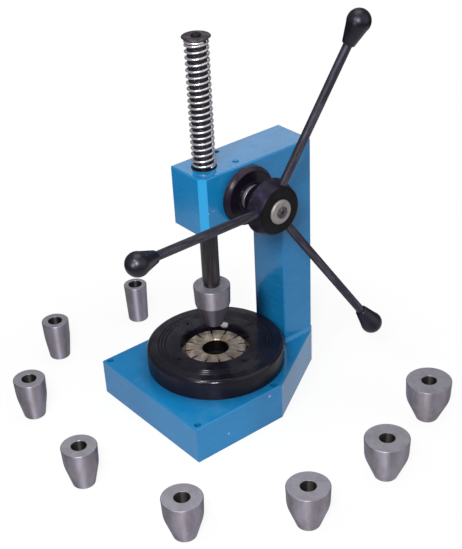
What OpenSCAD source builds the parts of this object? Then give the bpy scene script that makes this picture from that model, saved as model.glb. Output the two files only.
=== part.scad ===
// Bangle sizing press. A capstan handle turns a pinion that drives a toothed ram down, and the
// conical plug on the ram spreads a ring of sliding segments. Spare plugs stand around the press.
// Origin: on the ram axis at the underside of the base. +X to the handle, +Y to the column, +Z up.

/* [Base] */
// Width of the base across its straight sides
base_w = 136; // [128:1:180]
// Thickness of the base plate
base_t = 34; // [28:1:44]
// Front edge of the base, forward of the ram axis
base_front = 75; // [68:1:100]
// Place behind the ram axis where the straight sides end and the taper starts
base_straight = 17; // [12:1:40]
// Diameter of the four mounting holes
mount_hole_d = 5.5; // [4:0.5:7]
// Distance of each mounting hole from the two edges beside it
mount_inset = 5; // [4.5:0.5:7]
// Depth of the pocket in the base that clears the plug's nose
nose_pocket_depth = 12; // [8:1:20]

/* [Upright] */
// Width of the column and the head
column_w = 40; // [40:1:52]
// Depth of the column from front to rear
column_d = 32; // [26:1:45]
// Distance from the ram axis to the front face of the column
throat = 63; // [62:1:90]
// Height of the head's underside above the base
head_clear = 135; // [130:1:180]
// Height of the head
head_h = 50; // [50:1:64]
// Front face of the head, forward of the ram axis
head_front = 18.5; // [16:0.5:30]
// Bevel on the head's front corner at the handle side
head_bevel = 5; // [2:0.5:8]
// Leg of the bead along the foot of the column
foot_bead = 3; // [1:0.5:5]
// Chamfer on the sharp edges of the painted pieces
edge = 1; // [0.5:0.25:2]
// Diameter of the bolts that hold the column
column_bolt_d = 10; // [8:1:12]
// Spacing of the two column bolts
column_bolt_gap = 20; // [18:1:22]

/* [Ram] */
// Diameter of the ram
ram_d = 15; // [14:0.5:17]
// Length of the ram above the head
ram_above = 103.5; // [90:0.5:130]
// Travel of the ram
ram_stroke = 41.5; // [30:0.1:45]
// Length of the spigot that carries a plug
spigot_l = 24; // [16:1:30]
// Diameter of the neck above the plug
neck_d = 13.6; // [13:0.1:13.9]
// Height of the neck above the plug
neck_h = 4; // [2:0.5:8]
// Wall of the ram's guide bushes
ram_bush_wall = 2.5; // [2:0.25:3]
// Diameter of the section of the rubber ring that grips a plug
grip_ring_d = 1.8; // [1.2:0.1:2.2]

/* [Rack and pinion] */
// Module of the teeth
gear_module = 1.5; // [1.25:0.05:1.6]
// Number of teeth on the pinion
pinion_teeth = 24; // [22:1:25]
// Width of the pinion
pinion_w = 16; // [12:0.5:16]
// Height of the pinion's axis above the middle of the head
pinion_rise = 0.5; // [0:0.25:1]
// Depth of the flat on which the rack is cut
rack_flat = 0.5; // [0.3:0.1:0.8]

/* [Pinion bearings] */
// Diameter of the pinion shaft
shaft_d = 14; // [12:0.5:15]
// Wall of the left bush
left_bush_wall = 3; // [2:0.5:4]
// Length of the left bush
left_bush_l = 10; // [8:0.5:11]
// Diameter of the bearing flange
flange_d = 49; // [46:0.5:50]
// Thickness of the bearing flange outside the head
flange_t = 6; // [4:0.5:10]
// Bevel on the front rim of the bearing flange
flange_bevel = 2.5; // [0.5:0.25:3]
// Diameter of the boss around the flange's bush
flange_boss_d = 25; // [24:0.5:30]
// Height of that boss above the flange
flange_boss_h = 3.8; // [0.5:0.1:4]
// Outer diameter of the flange's bush
flange_bush_d = 21; // [19:0.5:23]
// Length of the flange's bush that stands out
flange_bush_out = 6.7; // [2:0.1:8]
// Diameter of the set screws in the head's top
set_screw_d = 5; // [4:0.5:6]
// Distance of the left bush's set screw from the left face
left_screw_in = 5.5; // [4:0.5:6]
// Distance of the flange's set screw from the right face
flange_screw_in = 9.5; // [5:0.5:9.5]

/* [Handle] */
// Largest diameter of the hub
hub_d = 46; // [44:1:56]
// Diameter of the hub's back face
hub_back_d = 22; // [22:1:30]
// Diameter of the hub's front face
hub_face_d = 38; // [30:1:42]
// Length of the hub's tapered back
hub_cone_l = 17; // [10:1:24]
// Length of the hub's straight rim
hub_rim_l = 1; // [0.5:0.5:4]
// Length of the hub's tapered nose
hub_nose_l = 12.5; // [10:0.5:16]
// Diameter of the spokes
spoke_d = 7; // [6:0.5:8]
// Distance of the knob centres from the shaft axis
spoke_r = 151; // [120:1:200]
// Lean of the spokes away from the head, in degrees
spoke_lean = 12; // [0:0.5:15]
// Distance behind the hub's front face where the spokes' lines meet the shaft axis
spoke_back = 10; // [9:0.5:12]
// Angle of the upper spoke from the rear, in degrees
spoke_1_angle = 67; // [50:0.5:80]
// Angle of the front spoke from the rear, in degrees
spoke_2_angle = 171.5; // [160:0.5:195]
// Angle of the lower spoke from the rear, in degrees
spoke_3_angle = 302.5; // [280:0.5:315]
// Diameter of the ball of a knob
knob_d = 18.4; // [16:0.2:24]
// Distance from the ball's centre to the end of the knob's tail
knob_tail_l = 18; // [15:0.5:24]
// Diameter of the knob's tail at its end
knob_tail_d = 10; // [9.5:0.25:12]
// Diameter of the hub's end washer
hub_washer_d = 20; // [18:0.5:26]
// Thickness of the hub's end washer
hub_washer_t = 2; // [1.5:0.25:3]
// Diameter of the hub's end screw
hub_screw_d = 6; // [5:0.5:7]
// Side of the hub's square key
key_w = 4; // [3:0.5:5]

/* [Return spring] */
// Outer diameter of the spring
spring_od = 19.2; // [19:0.1:21]
// Diameter of the spring's wire
spring_wire = 1.7; // [1.4:0.1:1.8]
// Number of turns
spring_turns = 22; // [16:1:24]
// Diameter of the washer under the spring
seat_washer_d = 20.5; // [20.5:0.5:28]
// Thickness of the washer under the spring
seat_washer_t = 0.8; // [0.8:0.1:2]
// Diameter of the cap on the spring
cap_d = 22.4; // [21:0.2:26]
// Thickness of the cap above the ram's end
cap_t = 1.2; // [1:0.1:4]
// Depth to which the cap reaches over the ram's end
cap_skirt = 0.8; // [0.5:0.1:3]
// Diameter of the cap's screw
cap_screw_d = 5; // [4:0.5:6]

/* [Die] */
// Diameter of the die housing
housing_d = 120; // [114:1:122]
// Height of the die housing
housing_h = 19; // [17:0.5:24]
// Chamfer on the housing's upper edge
housing_rim = 2; // [0.5:0.25:3]
// Thickness of the housing's floor
floor_t = 4; // [3:0.5:5]
// Room between the closed feet and the chamber's wall, for their travel and the ring
chamber_room = 4.3; // [3.5:0.1:4.5]
// Diameter of the hole in the housing's floor
floor_hole_d = 26; // [24:0.5:30]
// Diameter of the cover ring
cover_d = 100; // [98:1:100]
// Diameter of the opening in the cover ring
cover_bore = 60.4; // [60:0.2:62]
// Chamfer around the opening
cover_bevel = 1; // [1:0.1:3]
// Distance of the outer of the two turned grooves from the cover's edge
cover_groove_in = 3; // [2.5:0.25:3.5]
// Distance between the two grooves
cover_groove_gap = 3; // [2:0.25:3]
// Distance of the cover's screws from the chamber's wall
cover_screw_in = 3.7; // [3.45:0.05:4.2]
// Diameter of the cover's screws
cover_screw_d = 4; // [3:0.5:4]
// Diameter of the screws that hold the housing
housing_screw_d = 6; // [5:0.5:6]

/* [Segments] */
// Outer diameter of the closed ring of segments
segment_od = 54; // [52:0.5:54]
// Bore of the closed ring of segments
segment_bore = 23; // [20:0.5:26]
// Height of the segments
segment_h = 9.5; // [8:0.5:11]
// Height of the segments' feet
foot_h = 4.8; // [4:0.2:6]
// Diameter over the closed feet
foot_od = 63; // [62.5:0.25:64]
// Outward travel that the slots leave the segments
segment_travel = 2.9; // [1:0.1:2.9]
// Saw cut between closed segments
kerf = 0.3; // [0.2:0.05:0.6]
// Length of the notch at the outer end of each cut
notch_l = 6; // [3:0.5:9]
// Width of the notch at the segments' outer edge
notch_w = 2.4; // [1:0.1:4]
// Diameter of the pins that guide the segments
guide_pin_d = 3; // [2:0.25:3.5]
// Radius of the circle of guide pins
guide_pin_r = 23.5; // [22.5:0.25:24]
// Diameter of the section of the ring that closes the segments
garter_d = 2; // [1.5:0.1:2.2]

/* [Plugs] */
// Gap from the fitted plug's nose to the segments with the ram raised
daylight = 25.5; // [15:0.5:40]
// Height of every plug
plug_h = 38; // [32:0.5:45]
// Height of the land above the cone of every plug
plug_land = 17; // [10:0.5:22]
// Taper of the land, on the radius
plug_land_taper = 0.6; // [0:0.1:1]
// Diameter of the loose plugs at their noses
plug_nose_d = 19; // [16.5:0.25:19.5]
// Bore of every plug
plug_bore = 12.4; // [11:0.1:12.4]
// Chamfer on the edges of every plug
plug_edge = 0.8; // [0.3:0.1:1]
// Diameter of the plug on the ram
fitted_plug_d = 31.5; // [22:0.5:34]
// Diameter of that plug at its nose
fitted_nose_d = 16.5; // [16.5:0.25:19.5]
// Diameter of the first loose plug
plug_1_d = 22; // [21:0.5:42]
// Diameter of the second loose plug
plug_2_d = 25; // [21:0.5:42]
// Diameter of the third loose plug
plug_3_d = 28; // [21:0.5:42]
// Diameter of the fourth loose plug
plug_4_d = 30; // [21:0.5:42]
// Diameter of the fifth loose plug
plug_5_d = 33; // [21:0.5:42]
// Diameter of the sixth loose plug
plug_6_d = 35; // [21:0.5:42]
// Diameter of the seventh loose plug
plug_7_d = 37; // [21:0.5:42]
// Diameter of the eighth loose plug
plug_8_d = 38.5; // [21:0.5:42]
// Spread of the loose plugs around the press, as a share of their usual distance
plug_spread = 1; // [1:0.05:1.5]

/* [Clearances] */
// Gap on each side between pieces that are fixed together
seat_gap = 0.02; // [0.01:0.01:0.05]
// Gap on each side of a running shaft or pin
run_gap = 0.05; // [0.02:0.01:0.1]
// Gap between faces that slide past each other
slide_gap = 0.1; // [0.05:0.05:0.3]
// Gap around parts that must not touch
free_gap = 0.3; // [0.2:0.05:0.5]
// Side gap on each end of the pinion
end_gap = 0.5; // [0.3:0.1:1]
// Play between meshing teeth
backlash = 0.16; // [0.1:0.02:0.3]

/* [Hidden] */
$fn = 96;
segment_count = 12;
segment_pitch = 360 / segment_count;
// Where each loose plug stands on the table
plug_spots = plug_spread
    * [[-150, 19], [-148, -74], [-84, -141], [24, -160], [129, -136], [183, -57], [182, 28], [151, 109]];
plug_sizes = [plug_1_d, plug_2_d, plug_3_d, plug_4_d, plug_5_d, plug_6_d, plug_7_d, plug_8_d];

base_rear = throat + column_d;
head_z = base_t + head_clear;
top_z = head_z + head_h;
right_x = column_w / 2;
base_outline = [
    [-base_w / 2, -base_front], [base_w / 2, -base_front], [base_w / 2, base_straight],
    [right_x, base_rear], [-right_x, base_rear], [-base_w / 2, base_straight]
];
mount_x = base_w / 2 - mount_inset;
mount_front_y = mount_inset - base_front;
mount_rear_y = base_straight - mount_inset;

// Cap screw proportions: head width, head height, socket width and counterbore room, per thread diameter
head_ratio = 1.6;
socket_ratio = 0.8;
hole_room = 0.6;
bore_room = 1;

pressure_angle = 20;
pitch_r = gear_module * pinion_teeth / 2;
tip_r = pitch_r + gear_module;
root_r = pitch_r - 1.25 * gear_module;
flank_base_r = pitch_r * cos(pressure_angle);
tooth_pitch = PI * gear_module;
rack_tip_y = ram_d / 2 - rack_flat;
rack_pitch_y = rack_tip_y - gear_module;
rack_root_y = rack_pitch_y - 1.35 * gear_module;
pinion_y = rack_pitch_y + pitch_r;
pinion_z = head_z + head_h / 2 + pinion_rise;
rack_spare_gaps = 2;
rack_gaps_above = ceil(ram_stroke / tooth_pitch) + rack_spare_gaps;
pinion_room = 0.75;
cavity_r = tip_r + pinion_room;
pinion_x = -right_x + left_bush_l + end_gap;
cavity_x = pinion_x - end_gap;
// The flange's spigot keeps clear of the pinion and of the ram
spigot_x = max(pinion_x + pinion_w + end_gap, ram_d / 2 + free_gap);
left_bush_d = shaft_d + 2 * left_bush_wall;

// The ram bushes stop short of the pinion's tip circle
ram_bush_d = ram_d + 2 * ram_bush_wall;
ram_bush_reach = pinion_y - ram_bush_d / 2 - end_gap;
ram_bush_miss = sqrt(max(0, tip_r * tip_r - ram_bush_reach * ram_bush_reach));
ram_bush_l = head_h / 2 - pinion_rise - ram_bush_miss - end_gap;

hub_x = right_x + flange_t + flange_bush_out + free_gap;
hub_l = hub_cone_l + hub_rim_l + hub_nose_l;
hub_front_x = hub_x + hub_l;
spoke_x = hub_front_x - spoke_back;
spoke_in = shaft_d / 2 + key_w / 2 + 1;
shaft_end_x = hub_front_x - end_gap;
key_l = hub_cone_l + hub_rim_l - 2 * end_gap;
hub_screw_l = 16;
hub_button_h = hub_screw_d / 4;

floor_z = base_t + floor_t;
segment_z = floor_z + slide_gap;
segment_top = segment_z + segment_h;
cover_z = segment_z + foot_h + free_gap;
housing_top = base_t + housing_h;
housing_screw_circle = (cover_d + housing_d) / 2;
cover_groove_d = cover_d - 2 * cover_groove_in;
chamber_d = foot_od + 2 * chamber_room;
cover_screw_circle = chamber_d + 2 * cover_screw_in;
groove_w = 1.4;
groove_depth = 0.7;
guide_pin_h = 3;
ring_room = 0.3;

nose_z = segment_top + daylight;
plug_seat_z = nose_z + plug_h;
ram_top = top_z + ram_above;
spigot_d = plug_bore - 2 * run_gap;
grip_z = plug_seat_z - spigot_l / 2;
washer_top = top_z + seat_washer_t;
cap_z = ram_top - cap_skirt;
cap_top = ram_top + cap_t;
cap_rim = min(edge / 2, cap_t / 3);
cap_button_h = 0.4 * cap_screw_d;
spring_r = (spring_od - spring_wire) / 2;

// Square bar on edge, along Z: cuts a chamfer of the given leg from an edge on its axis
module bevel_bar(length, leg) {
    rotate([0, 0, 45])
        cube([leg * sqrt(2), leg * sqrt(2), length], center = true);
}

// Lays a child that stands along Z down along X, starting at the given place on the pinion's axis
module on_shaft(x) {
    translate([x, pinion_y, pinion_z])
        rotate([0, 90, 0])
            children();
}

// Sets a child that stands along Z on the line of spoke k, starting at the shaft axis
module on_spoke(k) {
    turn = [spoke_1_angle, spoke_2_angle, spoke_3_angle][k - 1];
    translate([spoke_x, pinion_y, pinion_z])
        rotate([turn, 0, 0])
            rotate([0, 0, -spoke_lean])
                rotate([-90, 0, 0])
                    children();
}

// Repeats a child at count places around the Z axis, from the first angle on
module around(count, radius, first = 0) {
    for (i = [0 : count - 1])
        rotate([0, 0, first + i * 360 / count])
            translate([radius, 0, 0])
                children();
}

// Socket cap screw along Z: head upward from z = 0 to -head height, shank upward to its length
module cap_bolt(d, length) {
    difference() {
        union() {
            translate([0, 0, -d])
                cylinder(d = head_ratio * d, h = d);
            cylinder(d = d, h = length);
        }
        translate([0, 0, -d - 1])
            cylinder(d = socket_ratio * d, h = d / 2 + 1, $fn = 6);
    }
}

// Hole and counterbore from below for a cap bolt whose head seats at the given height
module cap_bolt_hole(d, seat, length) {
    translate([0, 0, seat])
        cylinder(d = d + hole_room, h = length);
    translate([0, 0, -1])
        cylinder(d = head_ratio * d + bore_room, h = seat + 1);
}

// Button-head screw along Z with a hexagon socket: head above z = 0, shank below
module button_screw(d, button_h, length) {
    button_d = head_ratio * d;
    difference() {
        union() {
            cylinder(d = button_d, h = button_h / 2);
            translate([0, 0, button_h / 2])
                cylinder(d1 = button_d, d2 = button_d - 2 * button_h, h = button_h / 2);
            translate([0, 0, -length])
                cylinder(d = d, h = length);
        }
        translate([0, 0, -button_h])
            cylinder(d = d / 2, h = d, $fn = 6);
    }
}

module at_column_bolts() {
    for (side = [-1, 1])
        translate([side * column_bolt_gap / 2, throat + column_d / 2, 0])
            children();
}

module at_mount_holes() {
    for (x = [-mount_x, mount_x], y = [mount_front_y, mount_rear_y])
        translate([x, y, 0])
            children();
}

column_bolt_seat = column_bolt_d + bore_room;
column_bolt_l = base_t - column_bolt_seat + 2 * column_bolt_d;
housing_screw_seat = housing_screw_d + bore_room;
housing_screw_l = base_t - housing_screw_seat + 1.5 * housing_screw_d;
housing_screw_angle = 45;

module base_plate() {
    color("steelblue")
        difference() {
            linear_extrude(base_t)
                polygon(base_outline);
            // Chamfer on the upper edges, except under the column's rear face
            for (i = [0, 1, 2, 4, 5]) {
                p = base_outline[i];
                q = base_outline[(i + 1) % 6];
                translate([(p[0] + q[0]) / 2, (p[1] + q[1]) / 2, base_t])
                    rotate([0, 0, atan2(q[1] - p[1], q[0] - p[0])])
                        rotate([0, 90, 0])
                            bevel_bar(norm(q - p) + 4 * edge, edge);
            }
            at_mount_holes()
                translate([0, 0, -1])
                    cylinder(d = mount_hole_d, h = base_t + 2);
            at_column_bolts()
                cap_bolt_hole(column_bolt_d, column_bolt_seat, base_t);
            around(4, housing_screw_circle / 2, housing_screw_angle)
                cap_bolt_hole(housing_screw_d, housing_screw_seat, base_t);
            translate([0, 0, base_t - nose_pocket_depth])
                cylinder(d = floor_hole_d, h = nose_pocket_depth + 1);
        }
}

module upright_block() {
    difference() {
        rotate([90, 0, 90])
            linear_extrude(column_w, center = true)
                polygon([
                    [throat, base_t], [base_rear, base_t], [base_rear, top_z],
                    [-head_front, top_z], [-head_front, head_z], [throat, head_z]
                ]);
        translate([right_x, -head_front, head_z + head_h / 2])
            bevel_bar(head_h + 2, head_bevel);
        translate([-right_x, -head_front, head_z + head_h / 2])
            bevel_bar(head_h + 2, edge);
        for (side = [-1, 1]) {
            translate([side * right_x, base_rear, (base_t + top_z) / 2])
                bevel_bar(top_z - base_t + 2, edge);
            translate([side * right_x, throat, (base_t + head_z) / 2])
                bevel_bar(head_clear - 2 * edge, edge);
            translate([side * right_x, (base_rear - head_front) / 2, top_z])
                rotate([90, 0, 0])
                    bevel_bar(base_rear + head_front + 2, edge);
        }
        for (y = [-head_front, base_rear])
            translate([0, y, top_z])
                rotate([0, 90, 0])
                    bevel_bar(column_w + 2, edge);
    }
}

// Bead along the front and the two sides of the column's foot, kept within the base
module column_bead() {
    bead_w = column_w + 2 * foot_bead;
    bead_d = column_d + foot_bead;
    intersection() {
        difference() {
            translate([-bead_w / 2, throat - foot_bead, base_t])
                cube([bead_w, bead_d, foot_bead]);
            for (side = [-1, 1])
                translate([side * bead_w / 2, throat, base_t + foot_bead])
                    rotate([90, 0, 0])
                        bevel_bar(3 * bead_d, foot_bead);
            translate([0, throat - foot_bead, base_t + foot_bead])
                rotate([0, 90, 0])
                    bevel_bar(bead_w + 2, foot_bead);
        }
        linear_extrude(base_t + foot_bead)
            polygon(base_outline);
    }
}

module upright() {
    color("dodgerblue")
        difference() {
            union() {
                upright_block();
                column_bead();
            }
            // Bore of the ram and its bushes
            translate([0, 0, head_z - 1])
                cylinder(d = ram_bush_d, h = head_h + 2);
            // Bore of the pinion, open to the right, and of the left bush
            on_shaft(cavity_x)
                cylinder(r = cavity_r, h = column_w);
            on_shaft(-right_x - 1)
                cylinder(d = left_bush_d, h = left_bush_l + 2);
            // Screw holes in the head's top and the column's foot
            for (x = [-right_x + left_screw_in, right_x - flange_screw_in])
                translate([x, pinion_y, pinion_z])
                    cylinder(d = set_screw_d, h = head_h);
            at_column_bolts()
                cylinder(d = column_bolt_d + 2 * seat_gap, h = column_bolt_seat + column_bolt_l + 2);
        }
}

module column_bolts() {
    color("dimgray")
        at_column_bolts()
            translate([0, 0, column_bolt_seat])
                cap_bolt(column_bolt_d, column_bolt_l);
}

module ram_bush(z) {
    color("darkgoldenrod")
        translate([0, 0, z])
            difference() {
                cylinder(d = ram_bush_d - 2 * seat_gap, h = ram_bush_l);
                translate([0, 0, -1])
                    cylinder(d = ram_d + 2 * run_gap, h = ram_bush_l + 2);
            }
}

module upper_bush() {
    ram_bush(top_z - ram_bush_l);
}

module lower_bush() {
    ram_bush(head_z);
}

module left_bush() {
    color("darkgoldenrod")
        on_shaft(-right_x)
            difference() {
                cylinder(d = left_bush_d - 2 * seat_gap, h = left_bush_l);
                translate([0, 0, -1])
                    cylinder(d = shaft_d + 2 * run_gap, h = left_bush_l + 2);
            }
}

module bearing_flange() {
    color("black")
        difference() {
            union() {
                on_shaft(right_x)
                    cylinder(d = flange_d, h = flange_t - flange_bevel);
                on_shaft(right_x + flange_t - flange_bevel)
                    cylinder(d1 = flange_d, d2 = flange_d - 2 * flange_bevel, h = flange_bevel);
                on_shaft(right_x)
                    cylinder(d = flange_boss_d, h = flange_t + flange_boss_h);
                on_shaft(spigot_x)
                    cylinder(r = cavity_r - run_gap, h = right_x - spigot_x);
            }
            on_shaft(spigot_x - 1)
                cylinder(d = flange_bush_d, h = column_w);
        }
}

module flange_bush() {
    bush_l = right_x - spigot_x + flange_t + flange_bush_out;
    color("silver")
        on_shaft(spigot_x)
            difference() {
                union() {
                    cylinder(d = flange_bush_d - 2 * seat_gap, h = bush_l - edge);
                    translate([0, 0, bush_l - edge])
                        cylinder(d1 = flange_bush_d - 2 * seat_gap, d2 = flange_bush_d - 2 * edge, h = edge);
                }
                translate([0, 0, -1])
                    cylinder(d = shaft_d + 2 * run_gap, h = bush_l + 2);
            }
}

// Set screw with a hexagon socket, from its point up to just below the head's top
module set_screw(x, point_z) {
    screw_top = top_z - edge;
    translate([x, pinion_y, point_z])
        difference() {
            cylinder(d = set_screw_d - 2 * seat_gap, h = screw_top - point_z);
            translate([0, 0, screw_top - point_z - set_screw_d / 2])
                cylinder(d = set_screw_d / 2, h = set_screw_d, $fn = 6);
        }
}

module bush_set_screws() {
    color("black") {
        set_screw(-right_x + left_screw_in, pinion_z + left_bush_d / 2);
        set_screw(right_x - flange_screw_in, pinion_z + cavity_r);
    }
}

module spring_seat_washer() {
    color("black")
        translate([0, 0, top_z])
            difference() {
                cylinder(d = seat_washer_d, h = seat_washer_t);
                translate([0, 0, -1])
                    cylinder(d = ram_d + 2 * free_gap, h = seat_washer_t + 2);
            }
}

module at_cover_screws() {
    around(4, cover_screw_circle / 2)
        children();
}

cover_screw_seat = housing_top - cover_screw_d;
cover_screw_l = cover_screw_seat - cover_z + 1.5 * cover_screw_d;

module die_housing() {
    color("black")
        difference() {
            rotate_extrude()
                polygon([
                    [floor_hole_d / 2, base_t], [housing_d / 2, base_t],
                    [housing_d / 2, housing_top - housing_rim], [housing_d / 2 - housing_rim, housing_top],
                    [cover_d / 2 + seat_gap, housing_top], [cover_d / 2 + seat_gap, cover_z],
                    [chamber_d / 2, cover_z], [chamber_d / 2, floor_z], [floor_hole_d / 2, floor_z]
                ]);
            around(segment_count, guide_pin_r, segment_pitch / 2)
                translate([0, 0, base_t - 1])
                    cylinder(d = guide_pin_d + 2 * seat_gap, h = floor_t + 2);
            at_cover_screws()
                translate([0, 0, cover_screw_seat - cover_screw_l])
                    cylinder(d = cover_screw_d + 2 * seat_gap, h = cover_screw_l);
            around(4, housing_screw_circle / 2, housing_screw_angle)
                translate([0, 0, base_t - 1])
                    cylinder(d = housing_screw_d + 2 * seat_gap, h = 1.5 * housing_screw_d + 2);
        }
}

module die_cover() {
    lip_z = housing_top - cover_bevel;
    color("black")
        difference() {
            rotate_extrude()
                polygon([
                    [cover_bore / 2, cover_z], [cover_d / 2, cover_z],
                    [cover_d / 2, housing_top - groove_depth], [cover_d / 2 - groove_depth, housing_top],
                    for (r = [cover_groove_d / 2, cover_groove_d / 2 - cover_groove_gap])
                        each [[r + groove_w / 2, housing_top], [r, housing_top - groove_depth],
                              [r - groove_w / 2, housing_top]],
                    [cover_bore / 2 + cover_bevel, housing_top], [cover_bore / 2, lip_z]
                ]);
            at_cover_screws() {
                translate([0, 0, cover_z - 1])
                    cylinder(d = cover_screw_d + hole_room, h = housing_h);
                translate([0, 0, cover_screw_seat])
                    cylinder(d = head_ratio * cover_screw_d + hole_room, h = housing_h);
            }
        }
}

module cover_screws() {
    color("dimgray")
        at_cover_screws()
            translate([0, 0, cover_screw_seat])
                mirror([0, 0, 1])
                    cap_bolt(cover_screw_d, cover_screw_l);
}

module housing_screws() {
    color("dimgray")
        around(4, housing_screw_circle / 2, housing_screw_angle)
            translate([0, 0, housing_screw_seat])
                cap_bolt(housing_screw_d, housing_screw_l);
}

module guide_pins() {
    color("silver")
        around(segment_count, guide_pin_r, segment_pitch / 2)
            translate([0, 0, base_t])
                cylinder(d = guide_pin_d, h = floor_t + guide_pin_h);
}

module garter_spring() {
    color("gray")
        translate([0, 0, segment_z + foot_h / 2])
            rotate_extrude()
                translate([foot_od / 2, 0])
                    circle(d = garter_d, $fn = 32);
}

// Wedge of one segment in plan, pointing along +X, with half a notch at the outer end of each side
module segment_plan() {
    half = segment_pitch / 2;
    apex = kerf / 2 / sin(half);
    reach = foot_od;
    notch_in = segment_od / 2 - notch_l;
    notch_half = notch_w / 2 / notch_l * reach;
    difference() {
        polygon([[apex, 0], [apex + reach * cos(half), -reach * sin(half)],
                 [apex + reach * cos(half), reach * sin(half)]]);
        for (side = [-1, 1])
            rotate(side * half)
                polygon([[notch_in, 0], [notch_in + reach, -notch_half], [notch_in + reach, notch_half]]);
    }
}

module segment(k) {
    rim = plug_edge;
    slot_w = guide_pin_d + 2 * slide_gap;
    slot_l = slot_w + segment_travel + 2 * slide_gap;
    color("tan")
        rotate([0, 0, (k - 0.5) * segment_pitch])
            translate([0, 0, segment_z])
                difference() {
                    intersection() {
                        rotate_extrude()
                            polygon([
                                [segment_bore / 2, 0], [foot_od / 2, 0], [foot_od / 2, foot_h],
                                [segment_od / 2, foot_h], [segment_od / 2, segment_h - rim],
                                [segment_od / 2 - rim, segment_h], [segment_bore / 2 + rim, segment_h],
                                [segment_bore / 2, segment_h - rim]
                            ]);
                        linear_extrude(segment_h)
                            segment_plan();
                    }
                    // Groove of the closing ring around the foot
                    translate([0, 0, foot_h / 2])
                        rotate_extrude()
                            translate([foot_od / 2, 0])
                                circle(d = garter_d + 2 * ring_room, $fn = 32);
                    // Slot that runs on the guide pin
                    translate([guide_pin_r + slot_w / 2 + slide_gap - slot_l, -slot_w / 2, -1])
                        cube([slot_l, slot_w, guide_pin_h + 1 + free_gap]);
                }
}

// Flank of the pinion's teeth: half of a tooth's angle at a given radius on the involute
function roll(radius) = let (t = sqrt(max(0, pow(radius / flank_base_r, 2) - 1))) t * 180 / PI - atan(t);
function half_tooth(radius) =
    (tooth_pitch / 2 - backlash / 2) / pitch_r / 2 * 180 / PI + roll(pitch_r) - roll(radius);
function polar(radius, angle) = [radius * cos(angle), radius * sin(angle)];

module pinion_plan() {
    steps = 5;
    flank = [for (i = [0 : steps]) flank_base_r + (tip_r - flank_base_r) * i / steps];
    polygon([
        for (tooth = [0 : pinion_teeth - 1])
            let (middle = 180 + tooth * 360 / pinion_teeth)
            each concat(
                [polar(root_r, middle - half_tooth(flank_base_r))],
                [for (i = [0 : steps]) polar(flank[i], middle - half_tooth(flank[i]))],
                [for (i = [steps : -1 : 0]) polar(flank[i], middle + half_tooth(flank[i]))],
                [polar(root_r, middle + half_tooth(flank_base_r))]
            )
    ]);
}

module pinion_shaft() {
    shaft_l = shaft_end_x + right_x - edge;
    color("gray")
        difference() {
            union() {
                on_shaft(-right_x + edge)
                    cylinder(d = shaft_d, h = shaft_l);
                translate([pinion_x, pinion_y, pinion_z])
                    rotate([90, 0, 90])
                        linear_extrude(pinion_w)
                            pinion_plan();
            }
            key_room(seat_gap);
            on_shaft(shaft_end_x - hub_screw_l)
                cylinder(d = hub_screw_d + 2 * seat_gap, h = hub_screw_l + 1);
        }
}

// Square key between shaft and hub, with room on every side when it is cut from them
module key_room(room) {
    half = key_w / 2 + room;
    translate([hub_x + end_gap - room, pinion_y - half, pinion_z + shaft_d / 2 - half])
        cube([key_l + 2 * room, 2 * half, 2 * half]);
}

module hub_key() {
    color("gray")
        key_room(0);
}

module hub() {
    color("black")
        difference() {
            on_shaft(hub_x)
                rotate_extrude()
                    polygon([
                        [shaft_d / 2 + seat_gap, 0], [hub_back_d / 2, 0], [hub_d / 2, hub_cone_l],
                        [hub_d / 2, hub_cone_l + hub_rim_l], [hub_face_d / 2, hub_l],
                        [shaft_d / 2 + seat_gap, hub_l]
                    ]);
            key_room(seat_gap);
            for (k = [1 : 3])
                on_spoke(k)
                    translate([0, 0, spoke_in - seat_gap])
                        cylinder(d = spoke_d + 2 * seat_gap, h = hub_d);
        }
}

module hub_washer() {
    color("lightgray")
        on_shaft(hub_front_x)
            difference() {
                union() {
                    cylinder(d = hub_washer_d, h = hub_washer_t - edge);
                    translate([0, 0, hub_washer_t - edge])
                        cylinder(d1 = hub_washer_d, d2 = hub_washer_d - 2 * edge, h = edge);
                }
                translate([0, 0, -1])
                    cylinder(d = hub_screw_d + 2 * seat_gap, h = hub_washer_t + 2);
            }
}

module hub_screw() {
    color("dimgray")
        on_shaft(hub_front_x + hub_washer_t)
            button_screw(hub_screw_d, hub_button_h, hub_screw_l);
}

spoke_l = spoke_r / cos(spoke_lean);
// The rod ends short of the ball's centre
spoke_short = knob_d / 4;
spoke_end = spoke_l - spoke_short;

module spoke(k) {
    color("dimgray")
        on_spoke(k)
            translate([0, 0, spoke_in])
                cylinder(d = spoke_d, h = spoke_end - spoke_in);
}

// Pear-shaped knob: a ball whose tail is the cone that touches it smoothly
module knob(k) {
    ball_r = knob_d / 2;
    tail_r = knob_tail_d / 2;
    touch = acos(ball_r / norm([tail_r, knob_tail_l])) - atan2(knob_tail_l, tail_r);
    steps = 14;
    color("black")
        on_spoke(k)
            translate([0, 0, spoke_l])
                difference() {
                    rotate_extrude()
                        polygon([
                            [0, -knob_tail_l], [tail_r, -knob_tail_l],
                            for (i = [0 : steps - 1]) polar(ball_r, touch + (90 - touch) * i / steps),
                            [0, ball_r]
                        ]);
                    translate([0, 0, -knob_tail_l - 1])
                        cylinder(d = spoke_d + 2 * seat_gap, h = knob_tail_l + 1 - spoke_short + seat_gap);
                }
}

module rack_gap_plan() {
    function half_gap(y) = tooth_pitch / 4 + backlash / 4 + (y - rack_pitch_y) * tan(pressure_angle);
    outer = ram_d;
    polygon([
        [rack_root_y, -half_gap(rack_root_y)], [outer, -half_gap(outer)],
        [outer, half_gap(outer)], [rack_root_y, half_gap(rack_root_y)]
    ]);
}

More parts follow.
